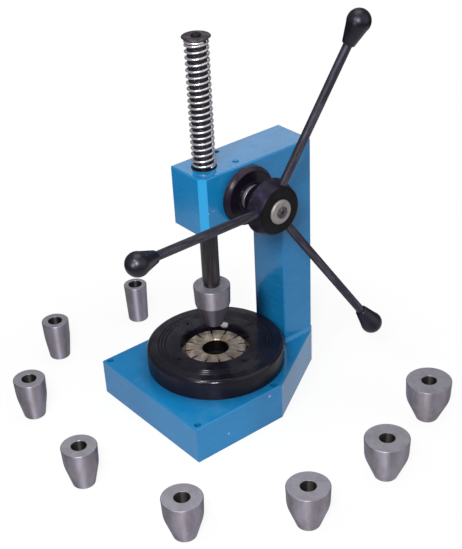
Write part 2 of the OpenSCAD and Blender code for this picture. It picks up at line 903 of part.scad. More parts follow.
module ram() {
    rack_low = pinion_z - (rack_spare_gaps + 1) * tooth_pitch;
    rack_high = pinion_z + (rack_gaps_above + 1) * tooth_pitch;
    neck_z = plug_seat_z + neck_h;
    slope = (ram_d - neck_d) / 2;
    color("dimgray")
        difference() {
            union() {
                translate([0, 0, neck_z + slope])
                    cylinder(d = ram_d, h = ram_top - neck_z - slope);
                translate([0, 0, neck_z])
                    cylinder(d1 = neck_d, d2 = ram_d, h = slope);
                translate([0, 0, plug_seat_z])
                    cylinder(d = neck_d, h = neck_h);
                translate([0, 0, plug_seat_z - spigot_l])
                    cylinder(d = spigot_d, h = spigot_l);
            }
            translate([-ram_d, rack_tip_y, rack_low])
                cube([2 * ram_d, ram_d, rack_high - rack_low]);
            for (i = [-rack_spare_gaps : rack_gaps_above])
                translate([0, 0, pinion_z + i * tooth_pitch])
                    rotate([90, 0, 90])
                        linear_extrude(2 * ram_d, center = true)
                            rack_gap_plan();
            // Groove of the ring that grips a plug
            translate([0, 0, grip_z])
                difference() {
                    cylinder(d = plug_bore + 1, h = grip_ring_d + 2 * slide_gap, center = true);
                    cylinder(d = spigot_d - 2 * grip_ring_d, h = 2 * grip_ring_d, center = true);
                }
            translate([0, 0, ram_top - 2.5 * cap_screw_d])
                cylinder(d = cap_screw_d + 2 * seat_gap, h = 3 * cap_screw_d);
        }
}

module plug_ring() {
    color("black")
        translate([0, 0, grip_z])
            rotate_extrude()
                translate([(plug_bore - grip_ring_d) / 2 - seat_gap, 0])
                    circle(d = grip_ring_d, $fn = 32);
}

// Thin disc flared to its rim, let over the end of the ram
module spring_cap() {
    color("dimgray")
        difference() {
            rotate_extrude()
                polygon([
                    [0, cap_z], [spring_od / 2, cap_z], [cap_d / 2, ram_top + cap_t / 3],
                    [cap_d / 2, cap_top - cap_rim], [cap_d / 2 - cap_rim, cap_top], [0, cap_top]
                ]);
            translate([0, 0, cap_z - 1])
                cylinder(d = ram_d + 2 * seat_gap, h = cap_skirt + 1);
            translate([0, 0, cap_z])
                cylinder(d = cap_screw_d + 2 * seat_gap, h = cap_t + cap_skirt + 1);
        }
}

module cap_screw() {
    color("black")
        translate([0, 0, cap_top])
            button_screw(cap_screw_d, cap_button_h, cap_t + 2 * cap_screw_d);
}

// Conical plug, nose down: a cone below, a land with little taper above, bored through
module plug(d, nose_d) {
    nose_r = nose_d / 2;
    bore_r = plug_bore / 2;
    color("darkgray")
        rotate_extrude()
            polygon([
                [bore_r + plug_edge, 0], [nose_r - plug_edge, 0], [nose_r, plug_edge],
                [d / 2 - plug_land_taper, plug_h - plug_land], [d / 2, plug_h - plug_edge],
                [d / 2 - plug_edge, plug_h],
                [bore_r + plug_edge, plug_h], [bore_r, plug_h - plug_edge], [bore_r, plug_edge]
            ]);
}

module fitted_plug() {
    translate([0, 0, nose_z])
        plug(fitted_plug_d, fitted_nose_d);
}

// Compression spring with one closed turn at each end, swept as rings of points along the coil
module return_spring() {
    steps = 14;
    sides = 6;
    rings = spring_turns * steps;
    closed = spring_wire + slide_gap;
    low = washer_top + spring_wire / 2 + seat_gap;
    high = cap_z - spring_wire / 2 - slide_gap;
    open_pitch = (high - low - 2 * closed) / (spring_turns - 2);
    function rise(turn) = min(turn, 1) * closed
        + max(0, min(turn, spring_turns - 1) - 1) * open_pitch
        + max(0, turn - spring_turns + 1) * closed;
    points = [
        for (i = [0 : rings], j = [0 : sides - 1])
            let (turn = i / steps, around = 360 * j / sides)
            let (radius = spring_r + spring_wire / 2 * cos(around))
            let (height = low + rise(turn) + spring_wire / 2 * sin(around))
            [radius * cos(360 * turn), radius * sin(360 * turn), height]
    ];
    walls = [
        for (i = [0 : rings - 1], j = [0 : sides - 1])
            let (a = i * sides + j, b = i * sides + (j + 1) % sides)
            each [[a, a + sides, b], [b, a + sides, b + sides]]
    ];
    first_end = [for (j = [0 : sides - 1]) j];
    last_end = [for (j = [sides - 1 : -1 : 0]) rings * sides + j];
    color("silver")
        polyhedron(points, concat(walls, [first_end, last_end]));
}

module loose_plug(k) {
    spot = plug_spots[k - 1];
    translate([spot[0], spot[1], 0])
        plug(plug_sizes[k - 1], plug_nose_d);
}

base_plate();
upright();
column_bolts();
upper_bush();
lower_bush();
left_bush();
bearing_flange();
flange_bush();
bush_set_screws();
spring_seat_washer();
die_housing();
die_cover();
cover_screws();
housing_screws();
guide_pins();
garter_spring();
pinion_shaft();
hub();
hub_key();
hub_washer();
hub_screw();
ram();
spring_cap();
cap_screw();
fitted_plug();
plug_ring();
return_spring();
for (k = [1 : 3]) spoke(k);
for (k = [1 : 3]) knob(k);
for (k = [1 : segment_count]) segment(k);
for (k = [1 : len(plug_spots)]) loose_plug(k);
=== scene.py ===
import math

import bpy
import numpy as np
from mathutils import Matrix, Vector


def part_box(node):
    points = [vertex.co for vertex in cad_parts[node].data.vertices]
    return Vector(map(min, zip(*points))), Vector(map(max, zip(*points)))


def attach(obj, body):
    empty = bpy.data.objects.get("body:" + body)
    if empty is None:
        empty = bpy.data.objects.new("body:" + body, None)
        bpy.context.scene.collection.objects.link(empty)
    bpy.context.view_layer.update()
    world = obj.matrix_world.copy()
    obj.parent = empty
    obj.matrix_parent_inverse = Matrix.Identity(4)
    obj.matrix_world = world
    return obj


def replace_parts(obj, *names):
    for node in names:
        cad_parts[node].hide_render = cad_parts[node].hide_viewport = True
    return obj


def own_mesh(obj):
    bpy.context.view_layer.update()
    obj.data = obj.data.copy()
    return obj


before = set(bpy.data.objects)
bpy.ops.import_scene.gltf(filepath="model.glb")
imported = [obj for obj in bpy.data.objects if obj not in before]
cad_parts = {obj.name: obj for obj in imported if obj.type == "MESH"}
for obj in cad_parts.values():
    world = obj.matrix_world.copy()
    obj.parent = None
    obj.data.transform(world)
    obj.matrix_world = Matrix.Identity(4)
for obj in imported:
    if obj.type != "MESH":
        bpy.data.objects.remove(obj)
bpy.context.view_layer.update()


# Base plate: a thick block of mild steel, sawn and milled to a house-shaped outline and sprayed with glossy
# light blue enamel. It stands on the bench; four plain holes at its corners take the bench screws.
class Shade:
    """A value on its way through a finish: wraps one socket, and arithmetic on it adds Math nodes."""

    def __init__(self, tree, socket):
        self.tree, self.socket = tree, socket

    def node(self, kind, settings, sockets, out=0):
        """Adds a node: its settings first, then numbers, colours or links on its sockets."""
        made = self.tree.nodes.new(kind)
        for key, value in settings.items():
            setattr(made, key, value)
        for key, value in sockets.items():
            if isinstance(value, Shade):
                self.tree.links.new(value.socket, made.inputs[key])
            else:
                made.inputs[key].default_value = value
        return Shade(self.tree, made.outputs[out])

    def math(self, operation, first, second):
        return self.node("ShaderNodeMath", {"operation": operation}, {0: first, 1: second})

    def __add__(self, other):
        return self.math("ADD", self, other)

    def __radd__(self, other):
        return self.math("ADD", other, self)

    def __sub__(self, other):
        return self.math("SUBTRACT", self, other)

    def __rsub__(self, other):
        return self.math("SUBTRACT", other, self)

    def __mul__(self, other):
        return self.math("MULTIPLY", self, other)

    def __rmul__(self, other):
        return self.math("MULTIPLY", other, self)

    def step(self, low, high):
        """0 below low, 1 above high, smooth between them."""
        return self.node("ShaderNodeMapRange", {"interpolation_type": "SMOOTHSTEP"},
                         {"Value": self, "From Min": low, "From Max": high})

    def noise(self, scale, detail=2.0, roughness=0.5):
        """Soft noise with features of about 1 / scale metres."""
        sockets = {"Vector": self, "Scale": scale, "Detail": detail, "Roughness": roughness}
        return self.node("ShaderNodeTexNoise", {}, sockets)

    def lines(self, scale, detail=2.0, roughness=0.5):
        """Noise that changes with this value alone: rings by a radius, lines by a height."""
        row = self.node("ShaderNodeCombineXYZ", {}, {"X": self})
        return row.noise(scale, detail, roughness)

    def along(self, axis):
        """This place's X, Y or Z alone."""
        return self.node("ShaderNodeSeparateXYZ", {}, {"Vector": self}, out=axis)

    def stretch(self, x, y, z):
        """The same place with its axes scaled, so that a noise on it runs in streaks."""
        return self.node("ShaderNodeVectorMath", {"operation": "MULTIPLY"}, {0: self, 1: (x, y, z)})

    def tint(self, low, high):
        """Colour between low and high by this value."""
        return self.node("ShaderNodeMix", {"data_type": "RGBA"}, {0: self, 6: low, 7: high}, out=2)

    def bump(self, height, strength, distance, under=None):
        """Normal of a surface with this height on it, over another normal if one is given."""
        sockets = {"Height": height, "Strength": strength, "Distance": distance}
        return self.node("ShaderNodeBump", {}, {**sockets, **({"Normal": under} if under else {})})

    def rounded(self, radius):
        """Normal that runs round the edges with this radius, as paint and deburring leave them."""
        return self.node("ShaderNodeBevel", {"samples": 4}, {"Radius": radius})

    def away(self, point=(0.0, 0.0, 0.0)):
        """Distance from a point."""
        offset = self.node("ShaderNodeVectorMath", {"operation": "SUBTRACT"}, {0: self, 1: point})
        return offset.node("ShaderNodeVectorMath", {"operation": "LENGTH"}, {0: offset}, out="Value")

    def radius(self):
        """Distance from the upright axis, the ram's on the part or the spindle's in a lathe."""
        return self.stretch(1.0, 1.0, 0.0).away()

    def specks(self, scale, size, share):
        """1 in small round spots: one in each cell of about 1 / scale metres, in this share of the cells."""
        cells = self.node("ShaderNodeTexVoronoi", {}, {"Vector": self, "Scale": scale})
        tags = self.node("ShaderNodeTexVoronoi", {}, {"Vector": self, "Scale": scale}, out="Color")
        pick = tags.node("ShaderNodeSeparateColor", {}, {"Color": tags})
        return (1.0 - cells.step(size * 0.7, size)) * (1.0 - pick.step(share, share + 0.01))


def colour(red, green, blue):
    """Linear colour of an sRGB colour given from 0 to 255."""
    share = np.array([red, green, blue]) / 255
    return (*np.where(share <= 0.04045, share / 12.92, ((share + 0.055) / 1.055) ** 2.4), 1.0)


def finish_of(name, recipe, **fixed):
    """A finish: recipe(place, lathe) gives what changes over the surface, fixed the sockets that are even.
    place is the position on the part, lathe the position in a turned piece's own lathe."""
    material = bpy.data.materials.new(name)
    material.use_nodes = True
    tree = material.node_tree
    shader = tree.nodes["Principled BSDF"]
    place = Shade(tree, tree.nodes.new("ShaderNodeTexCoord").outputs["Object"])
    lathe = place.node("ShaderNodeAttribute", {"attribute_name": "lathe"}, {}, out="Vector")
    for key, value in {**fixed, **recipe(place, lathe)}.items():
        socket = shader.inputs[key.replace("_", " ")]
        if isinstance(value, Shade):
            tree.links.new(value.socket, socket)
        else:
            socket.default_value = value
    return material


def dress(material, *nodes):
    """Gives CAD nodes a finish."""
    for node in nodes:
        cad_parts[node].data.materials.clear()
        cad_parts[node].data.materials.append(material)


def enamel_recipe(place, lathe):
    """Sprayed enamel: a slow drift of the blue, orange peel, thin streaks of dust and a few chips. The head's
    planed corner is painted paler as a painted highlight. Painted shade darkens the base round the die and
    the column's far front corner behind it, and the pocket under the die, left without enamel, is coloured
    near black as painted shade."""
    drift = place.noise(16.0, 4.0).step(0.3, 0.7)
    streaks = place.stretch(1.0, 1.0, 9.0).noise(60.0, 5.0, 0.65).step(0.45, 0.8)
    x, y, z = (place.along(axis) for axis in "XYZ")
    # painted highlight: the faces of the head's planed corner are painted a paler blue
    planed_highlight = (x - y).step(0.0332, 0.0334) * z.step(0.16, 0.161)
    radius = place.radius()
    # painted shade: the pocket under the die, left without enamel, is coloured near black
    painted_light_mask = (1.0 - radius.step(0.0132, 0.0136)) * (1.0 - z.step(0.0342, 0.0344))
    # painted shade on the base round the foot of the die housing
    shade_round_die = (1.0 - radius.step(0.0595, 0.074)) * (1.0 - z.step(0.036, 0.037))
    front = y.step(0.06, 0.061) * (1.0 - y.step(0.0634, 0.0642)) * z.step(0.0345, 0.035)
    # painted shade on the column's front behind the die, darkest towards its left
    shade_behind_die = front * (1.0 - z.step(0.058, 0.09)) * (1.0 - x.step(-0.019, 0.008))
    # sum of the painted shade round the die and behind it
    oil_and_shade = 0.3 * shade_round_die + 0.9 * shade_behind_die
    chips = place.specks(45.0, 0.06, 0.06)
    for spot, size in (((0.068, 0.0032, 0.0291), 0.0016), ((0.02, -0.0082, 0.19), 0.0008),
                       ((0.02, -0.0132, 0.1895), 0.0007)):
        chips = chips.math("MAXIMUM", chips, 1.0 - place.away(spot).step(size * 0.6, size))
    blue = drift.tint(colour(12, 107, 160), colour(20, 117, 171))
    worn = (streaks * 0.16).tint(blue, colour(96, 150, 190))
    # painted highlight laid on the planed corner
    highlit_blue = planed_highlight.tint(worn, colour(34, 142, 196))
    # painted shade: the blue is darkened to a near-black navy in these places
    shaded = oil_and_shade.tint(highlit_blue, colour(0, 18, 44))
    chipped = (chips * 0.7).tint(shaded, colour(150, 172, 190))
    peel = place.noise(420.0, 1.0) - 0.6 * chips
    return {
        "Base_Color": painted_light_mask.tint(chipped, colour(34, 28, 26)),
        "Roughness": 0.12 + 0.1 * streaks + 0.3 * chips,
        "Normal": place.bump(peel, 0.12, 0.0006, place.rounded(0.0007)),
    }


blue_enamel = finish_of("blue_enamel", enamel_recipe, IOR=1.5)
dress(blue_enamel, "base_plate")


# Fixing screws: socket cap screws of oil-blackened steel. They go in from below through the base, four into
# the die housing and two into the column.
def blackened_recipe(place, lathe):
    """Oil-blackened steel: near black, with grey rubbed patches and a fine grain."""
    rub = place.noise(240.0, 5.0, 0.6).step(0.45, 0.75)
    return {
        "Base_Color": rub.tint(colour(30, 28, 31), colour(62, 58, 60)),
        "Roughness": 0.5 - 0.14 * rub,
        "Normal": place.bump(place.noise(2600.0, 1.0), 0.1, 0.0002, place.rounded(0.0003)),
    }


blackened_steel = finish_of("blackened_steel", blackened_recipe, Metallic=0.75, IOR=1.5)
dress(blackened_steel, "housing_screws", "column_bolts")


# Die housing: a steel disc, turned with a bevelled rim, a chamber for the segments and a recess for the cover
# ring, enamelled black and screwed to the base from below. The enamel is glossy on top, duller on the side.
MM = 0.001


def soften(profile, radius, steps=5):
    """Rounds the corners of a closed profile: each corner P becomes the curve (1-t)^2 A + 2t(1-t) P + t^2 B
    between points A and B on its two sides. One more point is held on each side to keep the flats flat.
    radius is one length for all corners or a list with one for each."""
    corner = np.array(profile, float)
    radius = np.broadcast_to(radius, len(corner))[:, None]
    back, ahead = np.roll(corner, 1, 0) - corner, np.roll(corner, -1, 0) - corner
    reach = [np.linalg.norm(side, axis=1, keepdims=True) for side in (back, ahead)]
    shorter = np.minimum(*reach)
    cut = np.minimum(radius, 0.4 * shorter)
    hold = np.minimum(1.8 * cut, 0.46 * shorter)
    to_back, to_ahead = back / reach[0], ahead / reach[1]
    t = np.linspace(0, 1, steps)[:, None, None]
    first, last = corner + to_back * cut, corner + to_ahead * cut
    curve = (1 - t) ** 2 * first + 2 * t * (1 - t) * corner + t ** 2 * last
    whole = np.concatenate([(corner + to_back * hold)[None], curve, (corner + to_ahead * hold)[None]])
    return whole.transpose(1, 0, 2).reshape(-1, 2)


def put_mesh(name, points, faces, lathe=None):
    """Mesh object from metres and face indices, smooth, with the lathe's own coordinates as an attribute."""
    mesh = bpy.data.meshes.new(name)
    mesh.from_pydata(points.tolist(), [], faces)
    if lathe is not None:
        own = mesh.attributes.new("lathe", "FLOAT_VECTOR", "POINT")
        own.data.foreach_set("vector", lathe.astype(np.float32).ravel())
    mesh.shade_smooth()
    piece = bpy.data.objects.new(name, mesh)
    bpy.context.scene.collection.objects.link(piece)
    return piece


def grid_faces(rows, columns, close_rows, close_columns):
    """Quads of a grid of points numbered by rows; the last row or column joins the first where it closes."""
    i, j = np.meshgrid(np.arange(rows if close_rows else rows - 1),
                       np.arange(columns if close_columns else columns - 1), indexing="ij")
    i, j, up, on = (a.ravel() for a in (i, j, (i + 1) % rows, (j + 1) % columns))
    corners = [i * columns + j, i * columns + on, up * columns + on, up * columns + j]
    return np.stack(corners, 1).tolist()


def turned(name, profile, origin, axis=(0, 0, 1), around=144, tip=False):
    """Turned piece: profile points (radius r, height h) in millimetres, run counter-clockwise round the
    metal, are carried once round the axis: r cos t, r sin t, h. With tip, the profile starts and ends on the
    axis and the two ends become single points."""
    profile = np.asarray(profile, float) * MM
    t = np.arange(around) * 2 * np.pi / around
    ring = profile[1:-1] if tip else profile
    r, h = ring[:, :1], np.repeat(ring[:, 1:], around, 1)
    own = np.stack([r * np.cos(t), r * np.sin(t), h], 2).reshape(-1, 3)
    faces = grid_faces(len(ring), around, not tip, True)
    if tip:
        low, high, last = len(own), len(own) + 1, (len(ring) - 1) * around
        own = np.vstack([own, [[0, 0, profile[0, 1]], [0, 0, profile[-1, 1]]]])
        faces += [[low, (j + 1) % around, j] for j in range(around)]
        faces += [[high, last + j, last + (j + 1) % around] for j in range(around)]
    forward = np.array(axis, float) / np.linalg.norm(axis)
    upright = abs(forward[2]) > 0.99
    side = np.array([0.0, 1.0, 0.0]) if upright else np.cross(forward, [0.0, 0.0, 1.0])
    side /= np.linalg.norm(side)
    points = own @ np.stack([np.cross(side, forward), side, forward]) + np.array(origin) * MM
    return put_mesh(name, points, faces, own)


def stand_for(piece, node, body, material):
    """The piece takes the place of a CAD node, rides on its body and wears a finish."""
    piece.data.materials.append(material)
    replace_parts(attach(piece, body), node)


def face_finish(piece, material, wanted):
    """Gives a second finish to the faces for which wanted(how far a face looks up or down, 0 to 1) holds."""
    piece.data.materials.append(material)
    normals = np.empty((len(piece.data.polygons), 3), np.float32)
    piece.data.polygons.foreach_get("normal", normals.ravel())
    piece.data.polygons.foreach_set("material_index", wanted(np.abs(normals[:, 2])).astype(np.int32))


def black_enamel_recipe(place, lathe):
    """Black stoved enamel on turned metal: faint purple cast, polish haze, a little dust and fine peel."""
    haze = place.noise(45.0, 5.0, 0.6).step(0.35, 0.75)
    dust = place.specks(260.0, 0.14, 0.05)
    black = haze.tint(colour(17, 14, 24), colour(28, 24, 37))
    return {
        "Base_Color": (dust * 0.3).tint(black, colour(120, 115, 118)),
        "Roughness": 0.13 + 0.08 * haze + 0.2 * dust,
        "Normal": place.bump(place.noise(500.0, 2.0), 0.08, 0.0004, place.rounded(0.0004)),
    }


black_enamel = finish_of("black_enamel", black_enamel_recipe, IOR=1.5, Specular_IOR_Level=0.35)
base_top, housing_top = (v.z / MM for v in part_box("die_housing"))
cover_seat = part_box("die_cover")[0].z / MM
housing_r, rim, recess_r, chamber_r, floor_hole_r, floor_thick = 60, 2, 50.02, 35.8, 13, 4
floor_top = base_top + floor_thick
housing = turned("die_housing_turned", soften([
    (floor_hole_r, base_top), (housing_r, base_top), (housing_r, housing_top - rim),
    (housing_r - rim, housing_top), (recess_r, housing_top), (recess_r, cover_seat),
    (chamber_r, cover_seat), (chamber_r, floor_top), (floor_hole_r, floor_top)],
    [0.4, 0.5, 0.9, 0.9, 0.3, 0.3, 0.3, 0.3, 0.3]), (0, 0, 0), around=192)
stand_for(housing, "die_housing", "frame", black_enamel)


def dull_black_recipe(place, lathe):
    """The same enamel on the housing's outside, where it went on thinner and dulled."""
    made = black_enamel_recipe(place, lathe)
    return {**made, "Roughness": 0.3 + 0.08 * place.noise(60.0, 4.0)}


dull_black = finish_of("dull_black", dull_black_recipe, IOR=1.5, Specular_IOR_Level=0.22)
face_finish(housing, dull_black, lambda up: up < 0.3)


# Segments: twelve wedges sawn from one steel ring that was faced on the lathe. A garter ring draws them
# together and pins guide them. Their upright walls and notches are coloured near black as painted shade.
segment_count = 12


def ground_steel_recipe(place, lathe):
    """Faced tool steel: straw-grey, scratched both ways, with brown stains. Upright walls and the
    notches, which lie along the saw cuts, are coloured near black as painted shade."""
    scratch = place.stretch(1.0, 0.12, 1.0).noise(900.0, 3.0, 0.7)
    across = place.stretch(0.12, 1.0, 1.0).noise(900.0, 3.0, 0.7)
    stain = place.noise(110.0, 4.0, 0.6).step(0.4, 0.75)
    marks = (0.5 * scratch + 0.5 * across).step(0.4, 0.65)
    facing = place.node("ShaderNodeTexCoord", {}, {}, out="Normal")
    level = facing.along("Z").step(0.2, 0.6)
    x, y = (place.along(axis) for axis in "XY")
    radius = place.radius()
    from_cut = radius * x.math("PINGPONG", x.math("ARCTAN2", y, x), math.pi / segment_count)
    slot = radius.math("MINIMUM", 0.4 * (radius - 0.019), 0.0008)
    # painted shade: near black on faces that don't look up and in the notches along the saw cuts
    out_of_shade = level * (from_cut - slot).step(-0.0002, 0.0002)
    top = stain.tint(marks.tint(colour(160, 148, 138), colour(198, 184, 172)), colour(140, 122, 98))
    return {
        "Base_Color": out_of_shade.tint(colour(36, 29, 23), top),
        "Roughness": 0.46 - 0.14 * marks + 0.1 * stain,
        "Normal": place.bump(marks, 0.12, 0.0001, place.rounded(0.0003)),
    }


ground_steel = finish_of("ground_steel", ground_steel_recipe, Metallic=0.85, Anisotropic=0.65,
                         Anisotropic_Rotation=0.25)
dress(ground_steel, *[f"segment_{k + 1}" for k in range(segment_count)])


# Guide pins and garter ring: bright pins, and fine wire coiled into a ring that pulls the segments together,
# both out of sight under the cover. The ring is made as twelve lengths, one lying in each segment's groove.
def bright_wire_recipe(place, lathe):
    """Drawn bright wire: fine lines and a little grey tarnish."""
    tarnish = place.noise(180.0, 4.0).step(0.4, 0.8)
    return {
        "Base_Color": tarnish.tint(colour(240, 239, 244), colour(196, 194, 198)),
        "Roughness": 0.3 + 0.1 * tarnish,
        "Normal": place.bump(place.noise(1800.0, 2.0), 0.05, 0.0001),
    }


bright_wire = finish_of("bright_wire", bright_wire_recipe, Metallic=0.85)
dress(bright_wire, "guide_pins")


def garter_length(name, mean_r, coil_r, wire_r, height, first, last, turns=27, steps=14, sides=6):
    """Length of a coiled ring: the wire's centre winds at coil_r round a circle of mean_r at this height,
    from angle first to angle last; at each place a circle of wire_r stands across its path. Both cut ends
    are closed flat."""
    a = np.linspace(first, last, turns * steps + 1)[:, None]
    w = np.linspace(0, 2 * np.pi * turns, turns * steps + 1)[:, None]
    out = np.hstack([np.cos(w) * np.cos(a), np.cos(w) * np.sin(a), np.sin(w)])
    path = np.hstack([mean_r * np.cos(a), mean_r * np.sin(a), height + 0 * a]) + coil_r * out
    ahead = np.gradient(path, axis=0)
    ahead /= np.linalg.norm(ahead, axis=1, keepdims=True)
    s = 2 * np.pi * np.arange(sides)[None, :, None] / sides
    ring = np.cos(s) * out[:, None] + np.sin(s) * np.cross(ahead, out)[:, None]
    points = (path[:, None] + wire_r * ring).reshape(-1, 3)
    end = len(points) - sides
    caps = [list(range(sides - 1, -1, -1)), list(range(end, end + sides))]
    return put_mesh(name, points * MM, grid_faces(len(a), sides, False, True) + caps)


garter_low, garter_high = (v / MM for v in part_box("garter_spring"))
groove_gap, garter_wire_r, end_gap = 0.02, 0.2, 0.8
garter_r = (garter_high.z - garter_low.z) / 2 - groove_gap
garter_mean_r, garter_z = garter_high.x - garter_r - groove_gap, garter_low.z + garter_r + groove_gap
pitch = 360 / segment_count
for k in range(segment_count):
    first, last = math.radians(pitch * k + end_gap), math.radians(pitch * (k + 1) - end_gap)
    length = garter_length(f"garter_spring_{k + 1}", garter_mean_r, garter_r - garter_wire_r - groove_gap,
                           garter_wire_r, garter_z, first, last)
    stand_for(length, "garter_spring", f"segment_{k + 1}_body", bright_wire)


# Cover ring: a turned steel ring let into the housing flush, with two grooves and a bevelled mouth. Its lip
# keeps the segments' feet down. Four cap screws hold it, and it is enamelled over with them.
def lip_glint_recipe(place, lathe):
    """The housing's enamel with a painted glint: a white patch, half metal and rougher, at one place on
    the rear edge of the mouth.
    """
    made = black_enamel_recipe(place, lathe)
    lip = 1.0 - place.radius().step(0.0311, 0.0316)
    # painted glint: a white patch on the rear edge of the mouth
    painted_light_mask = lip * (1.0 - place.away((-0.0179, 0.0239, 0.0518)).step(0.0025, 0.0046))
    return {
        **made,
        "Base_Color": painted_light_mask.tint(made["Base_Color"], colour(255, 255, 255)),
        "Metallic": 0.5 * painted_light_mask,
        "Roughness": made["Roughness"] + 0.28 * painted_light_mask,
    }


dress(finish_of("lip_glint", lip_glint_recipe, IOR=1.5, Specular_IOR_Level=0.35), "die_cover")
dress(black_enamel, "cover_screws")


# Upright: column and head in one sawn inverted-L block, filled, rubbed down and sprayed with the base. A bead
# of filler runs round the column's foot, and the head's front corner is planed off at the handle's side. The
# two set screws in the head's top are painted over with it.
dress(blue_enamel, "upright", "bush_set_screws")


# Bushes: turned bronze sleeves pressed into the head, two for the ram and one for the left end of the pinion
# shaft.
def bronze_recipe(place, lathe):
    """Turned bronze: brown-yellow, oil-darkened in patches."""
    oil_and_shade = place.noise(160.0, 4.0).step(0.4, 0.7)
    return {
        "Base_Color": oil_and_shade.tint(colour(188, 150, 92), colour(122, 92, 54)),
        "Roughness": 0.3 + 0.15 * oil_and_shade,
        "Normal": place.bump(place.noise(1500.0, 2.0), 0.08, 0.0001, place.rounded(0.0002)),
    }


bronze = finish_of("bronze", bronze_recipe, Metallic=1.0)
dress(bronze, "upper_bush", "lower_bush", "left_bush")


# Bearing flange: a turned disc with a bevelled edge and a low boss, enamelled black, whose spigot closes the
# pinion's bore in the head. Its bright steel bush stands a little out of it towards the hub.
def turned_steel_recipe(place, lathe):
    """Bright turned steel: very fine tool rings by the distance from the lathe's axis and by height,
    purple-grey tarnish from handling, and a little rust bloom."""
    radius = lathe.radius()
    height = lathe.along("Z")
    rings = radius.node("ShaderNodeCombineXYZ", {}, {"X": radius, "Y": height}).noise(2600.0, 2.0, 0.6)
    stain = place.noise(70.0, 5.0, 0.62).step(0.45, 0.75)
    rust = place.noise(130.0, 5.0, 0.65).step(0.66, 0.82)
    steel = rings.step(0.3, 0.7).tint(colour(146, 142, 152), colour(168, 164, 174))
    tarnished = (stain * 0.4).tint(steel, colour(128, 120, 128))
    return {
        "Base_Color": (rust * 0.4).tint(tarnished, colour(118, 84, 66)),
        "Roughness": 0.48 + 0.1 * stain + 0.2 * rust,
        "Normal": place.bump(rings, 0.06, 0.0001),
    }


turned_steel = finish_of("turned_steel", turned_steel_recipe, Metallic=0.9)
flange_low, flange_high = (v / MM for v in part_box("bearing_flange"))
pinion_y, pinion_z = (flange_low.y + flange_high.y) / 2, (flange_low.z + flange_high.z) / 2
head_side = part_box("upright")[1].x / MM
flange_r, flange_thick, flange_bevel, spigot_r, boss_r, bush_seat_r = 24.5, 6, 2.5, 20.2, 12.5, 10.52
flange_face = head_side + flange_thick
flange = turned("bearing_flange_turned", soften([
    (bush_seat_r, flange_low.x), (spigot_r, flange_low.x), (spigot_r, head_side), (flange_r, head_side),
    (flange_r, flange_face - flange_bevel), (flange_r - flange_bevel, flange_face), (boss_r, flange_face),
    (boss_r, flange_high.x), (bush_seat_r, flange_high.x)],
    [0.3, 0.3, 0.1, 0.3, 0.6, 0.8, 0.4, 0.5, 0.3]), (0, pinion_y, pinion_z), (1, 0, 0))


def sheen_black_recipe(place, lathe):
    """Black enamel with a painted sheen: the upper half of the bevel is painted purple grey in patches."""
    made = black_enamel_recipe(place, lathe)
    bevel = lathe.radius().step(0.0216, 0.0222) * place.along("Z").step(0.192, 0.214)
    # painted sheen: purple-grey patches on the upper half of the flange's bevel
    painted_sheen = bevel * place.noise(120.0, 4.0, 0.6).step(0.1, 0.6)
    return {
        **made,
        "Base_Color": painted_sheen.tint(made["Base_Color"], colour(50, 41, 52)),
        "Roughness": 0.2 + 0.12 * painted_sheen,
    }


black_with_sheen = finish_of("black_with_sheen", sheen_black_recipe, IOR=1.5, Specular_IOR_Level=0.2)
stand_for(flange, "bearing_flange", "frame", black_with_sheen)
bush_back, bush_front = (v.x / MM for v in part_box("flange_bush"))
bush_bore_r, bush_r = 7.05, 10.48
flange_bush = turned("flange_bush_turned", soften([
    (bush_bore_r, bush_back), (bush_r, bush_back), (bush_r, bush_front), (bush_bore_r, bush_front)],
    [0.3, 0.3, 1.0, 0.4]), (0, pinion_y, pinion_z), (1, 0, 0))
stand_for(flange_bush, "flange_bush", "frame", turned_steel)


# Spring seat: a plain washer of blackened steel. It lies loose on the head round the ram, and the return
# spring stands on it.
seat_low, seat_high = (v.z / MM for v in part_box("spring_seat_washer"))
seat_bore_r, seat_r = 7.8, 10.25
seat = turned("spring_seat_turned", soften([
    (seat_bore_r, seat_low), (seat_r, seat_low), (seat_r, seat_high), (seat_bore_r, seat_high)],
    0.2), (0, 0, 0))
stand_for(seat, "spring_seat_washer", "frame", blackened_steel)


# Pinion shaft and key: bright turned steel with the pinion cut on it, running in the bushes. The key carries
# the hub's turn to the shaft.
dress(turned_steel, "pinion_shaft", "hub_key")


# Hub: turned from steel and blackened, a cone behind and a shallow cone in front that meet in a narrow rim.
# Three leaning holes take the spokes. A plated washer and a button screw hold it on the shaft.
def satin_black_recipe(place, lathe):
    """Blackened turned steel: near black, with faint tool rings; the sloping side is coloured purple in
    patches as a painted sheen."""
    rub = place.noise(80.0, 5.0, 0.6).step(0.4, 0.75)
    rings = lathe.radius().lines(900.0)
    height = lathe.along("Z")
    # painted sheen: the hub's sloping side is coloured purple
    side = height.step(0.0495, 0.0505) * (1.0 - height.step(0.0618, 0.063))
    sheen_purple = rub.tint(colour(20, 17, 29), colour(56, 48, 76))
    return {
        "Base_Color": side.tint(rub.tint(colour(13, 11, 13), colour(24, 22, 25)), sheen_purple),
        "Roughness": 0.36 + 0.12 * rub,
        "Normal": place.bump(rings + place.noise(700.0, 2.0), 0.06, 0.0002),
    }


